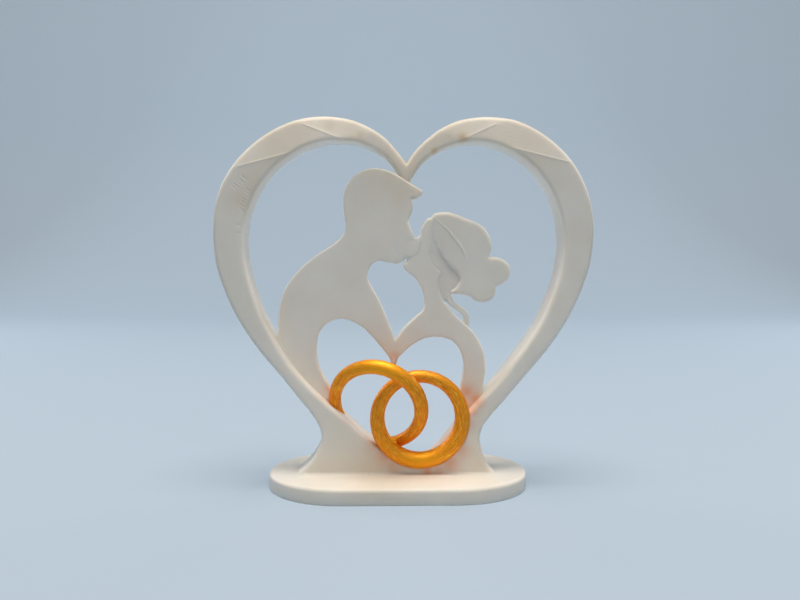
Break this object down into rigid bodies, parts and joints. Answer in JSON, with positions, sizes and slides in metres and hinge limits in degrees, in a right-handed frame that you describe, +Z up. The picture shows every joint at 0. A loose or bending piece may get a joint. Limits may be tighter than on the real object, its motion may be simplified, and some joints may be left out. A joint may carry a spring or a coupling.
{
  "type": "wedding cake topper",
  "caption": "Heart-shaped cake topper on an oval foot, with a kissing couple in silhouette and linked rings.",
  "frame": {"origin": "on the underside of the base, below the middle of the heart", "axes": "+Z up, +X to the viewer's right when the rings face the viewer, -Y towards the viewer"},
  "size_m": [0.1201, 0.0486, 0.1186],
  "materials": {
    "white_plastic": "warm white printed plastic, satin, with fine layer lines",
    "gold_paint": "gold metallic paint brushed on by hand over plastic, slightly rough"
  },
  "bodies": {
    "root": {"base_plate": "white_plastic", "heart_frame": "white_plastic", "groom_panel": "white_plastic", "bride_panel": "white_plastic", "bride_hair": "white_plastic", "bride_curl": "white_plastic", "left_ring": "gold_paint", "right_ring": "gold_paint"}
  },
  "joints": []
}
